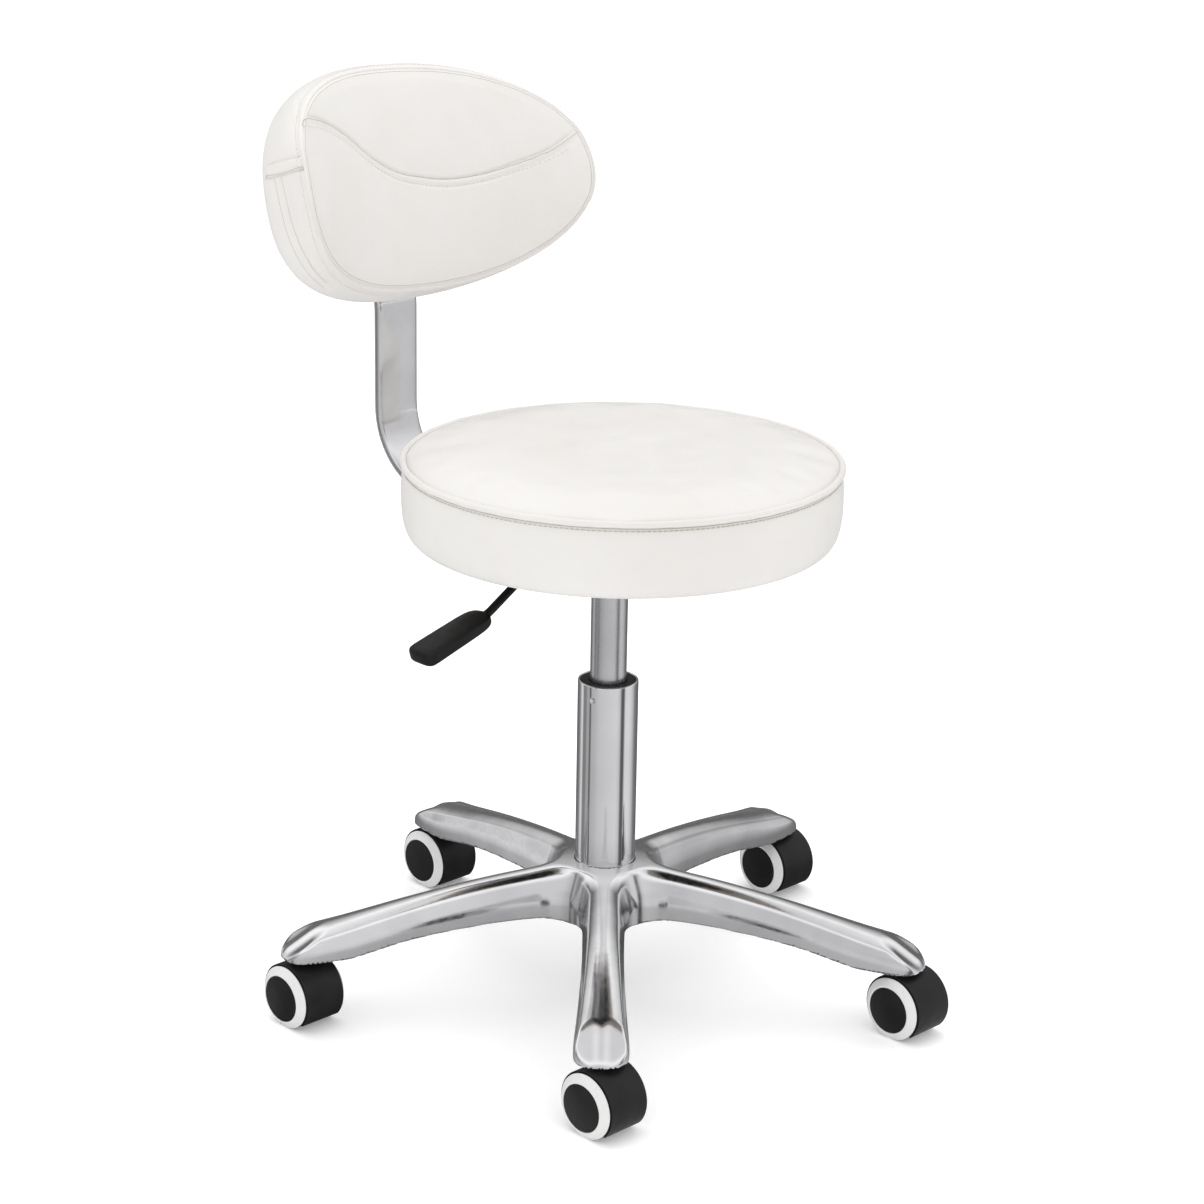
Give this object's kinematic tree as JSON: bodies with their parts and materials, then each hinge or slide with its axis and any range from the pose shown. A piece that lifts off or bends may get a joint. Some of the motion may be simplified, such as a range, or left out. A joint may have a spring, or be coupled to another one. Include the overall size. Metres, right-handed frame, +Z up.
{
  "type": "pedicure stool",
  "caption": "Low round padded stool with a curved back pad on a bent flat bar, gas-lift column with side lever, and a star base on twin-wheel casters.",
  "frame": {"origin": "on the floor, on the axis of the column", "axes": "+Z up along the column; the sitter faces -Y, with the back pad on the +Y side and the height lever along -X, at the sitter's right"},
  "size_m": [0.5395, 0.5804, 0.746],
  "materials": {
    "polished_aluminium": "polished casting",
    "chrome": "bright plated",
    "brushed_chrome": "brushed round the tube",
    "ground_steel": "ground",
    "bearing_steel": "hardened, ground",
    "zinc_steel": "zinc plated",
    "black_steel": "satin black powder coat",
    "black_plastic": "moulded",
    "caster_black": "moulded nylon",
    "ring_white": "moulded",
    "vinyl": "warm white upholstery vinyl, fine grain",
    "foam": "upholstery foam",
    "plywood": "unfinished birch plywood"
  },
  "bodies": {
    "base": {"star_base": "polished_aluminium", "column_tube": "chrome", "column_guide": "black_plastic", "thrust_bearing": "bearing_steel", "caster_stems": "zinc_steel", "caster_grip_rings": "zinc_steel"},
    "lift_rod": {"piston_rod": "ground_steel", "piston": "zinc_steel", "rod_clip": "bearing_steel"},
    "seat": {"gas_cylinder": "brushed_chrome", "cylinder_gland": "black_plastic", "seat_plate": "black_steel", "taper_socket": "black_steel", "lever_pin": "zinc_steel", "seat_board": "plywood", "seat_foam": "foam", "seat_cover": "vinyl", "seat_piping": "vinyl", "seat_bolts": "zinc_steel", "seat_tee_nuts": "zinc_steel", "back_bar": "chrome", "bar_bolts": "zinc_steel", "back_board": "plywood", "back_foam": "foam", "back_cover": "vinyl", "back_bolts": "zinc_steel", "back_tee_nuts": "zinc_steel"},
    "lever": {"lever_rod": "black_steel", "lever_grip": "black_plastic"},
    "valve": {"valve_pin": "ground_steel"},
    "caster_1": {"hood_1": "caster_black", "axle_1": "zinc_steel"},
    "wheel_1_left_body": {"wheel_1_left": "caster_black", "ring_1_left": "ring_white"},
    "wheel_1_right_body": {"wheel_1_right": "caster_black", "ring_1_right": "ring_white"},
    "caster_2": {"hood_2": "caster_black", "axle_2": "zinc_steel"},
    "wheel_2_left_body": {"wheel_2_left": "caster_black", "ring_2_left": "ring_white"},
    "wheel_2_right_body": {"wheel_2_right": "caster_black", "ring_2_right": "ring_white"},
    "caster_3": {"hood_3": "caster_black", "axle_3": "zinc_steel"},
    "wheel_3_left_body": {"wheel_3_left": "caster_black", "ring_3_left": "ring_white"},
    "wheel_3_right_body": {"wheel_3_right": "caster_black", "ring_3_right": "ring_white"},
    "caster_4": {"hood_4": "caster_black", "axle_4": "zinc_steel"},
    "wheel_4_left_body": {"wheel_4_left": "caster_black", "ring_4_left": "ring_white"},
    "wheel_4_right_body": {"wheel_4_right": "caster_black", "ring_4_right": "ring_white"},
    "caster_5": {"hood_5": "caster_black", "axle_5": "zinc_steel"},
    "wheel_5_left_body": {"wheel_5_left": "caster_black", "ring_5_left": "ring_white"},
    "wheel_5_right_body": {"wheel_5_right": "caster_black", "ring_5_right": "ring_white"}
  },
  "joints": [
    {"name": "seat_swivel", "type": "hinge", "parent": "base", "child": "lift_rod", "pos_m": [0, 0, 0.072], "axis": [0, 0, 1], "continuous": true},
    {"name": "seat_height", "type": "slide", "parent": "lift_rod", "child": "seat", "axis": [0, 0, 1], "range_m": [-0.067, 0.055]},
    {"name": "lever_lift", "type": "hinge", "parent": "seat", "child": "lever", "pos_m": [-0.045, 0, 0.3875], "axis": [0, 1, 0], "range_deg": [0, 4.5], "stiffness_Nm_per_rad": 6, "springref_deg": -3.44},
    {"name": "valve_press", "type": "slide", "parent": "seat", "child": "valve", "axis": [0, 0, 1], "range_m": [-0.0036, 0]},
    {"name": "caster_1_swivel", "type": "hinge", "parent": "base", "child": "caster_1", "pos_m": [-0.18385, -0.18385, 0.055], "axis": [0, 0, 1], "continuous": true},
    {"name": "wheel_1_left_spin", "type": "hinge", "parent": "caster_1", "child": "wheel_1_left_body", "pos_m": [-0.18385, -0.18785, 0.0265], "axis": [1, 0, 0], "continuous": true},
    {"name": "wheel_1_right_spin", "type": "hinge", "parent": "caster_1", "child": "wheel_1_right_body", "pos_m": [-0.18385, -0.18785, 0.0265], "axis": [1, 0, 0], "continuous": true},
    {"name": "caster_2_swivel", "type": "hinge", "parent": "base", "child": "caster_2", "pos_m": [0.11804, -0.23166, 0.055], "axis": [0, 0, 1], "continuous": true},
    {"name": "wheel_2_left_spin", "type": "hinge", "parent": "caster_2", "child": "wheel_2_left_body", "pos_m": [0.11804, -0.23566, 0.0265], "axis": [1, 0, 0], "continuous": true},
    {"name": "wheel_2_right_spin", "type": "hinge", "parent": "caster_2", "child": "wheel_2_right_body", "pos_m": [0.11804, -0.23566, 0.0265], "axis": [1, 0, 0], "continuous": true},
    {"name": "caster_3_swivel", "type": "hinge", "parent": "base", "child": "caster_3", "pos_m": [0.2568, 0.04067, 0.055], "axis": [0, 0, 1], "continuous": true},
    {"name": "wheel_3_left_spin", "type": "hinge", "parent": "caster_3", "child": "wheel_3_left_body", "pos_m": [0.2568, 0.03667, 0.0265], "axis": [1, 0, 0], "continuous": true},
    {"name": "wheel_3_right_spin", "type": "hinge", "parent": "caster_3", "child": "wheel_3_right_body", "pos_m": [0.2568, 0.03667, 0.0265], "axis": [1, 0, 0], "continuous": true},
    {"name": "caster_4_swivel", "type": "hinge", "parent": "base", "child": "caster_4", "pos_m": [0.04067, 0.2568, 0.055], "axis": [0, 0, 1], "continuous": true},
    {"name": "wheel_4_left_spin", "type": "hinge", "parent": "caster_4", "child": "wheel_4_left_body", "pos_m": [0.04067, 0.2528, 0.0265], "axis": [1, 0, 0], "continuous": true},
    {"name": "wheel_4_right_spin", "type": "hinge", "parent": "caster_4", "child": "wheel_4_right_body", "pos_m": [0.04067, 0.2528, 0.0265], "axis": [1, 0, 0], "continuous": true},
    {"name": "caster_5_swivel", "type": "hinge", "parent": "base", "child": "caster_5", "pos_m": [-0.23166, 0.11804, 0.055], "axis": [0, 0, 1], "continuous": true},
    {"name": "wheel_5_left_spin", "type": "hinge", "parent": "caster_5", "child": "wheel_5_left_body", "pos_m": [-0.23166, 0.11404, 0.0265], "axis": [1, 0, 0], "continuous": true},
    {"name": "wheel_5_right_spin", "type": "hinge", "parent": "caster_5", "child": "wheel_5_right_body", "pos_m": [-0.23166, 0.11404, 0.0265], "axis": [1, 0, 0], "continuous": true}
  ],
  "couplings": [
    {"joint": "valve_press", "follows": "lever_lift", "m_per_rad": -0.0446}
  ]
}
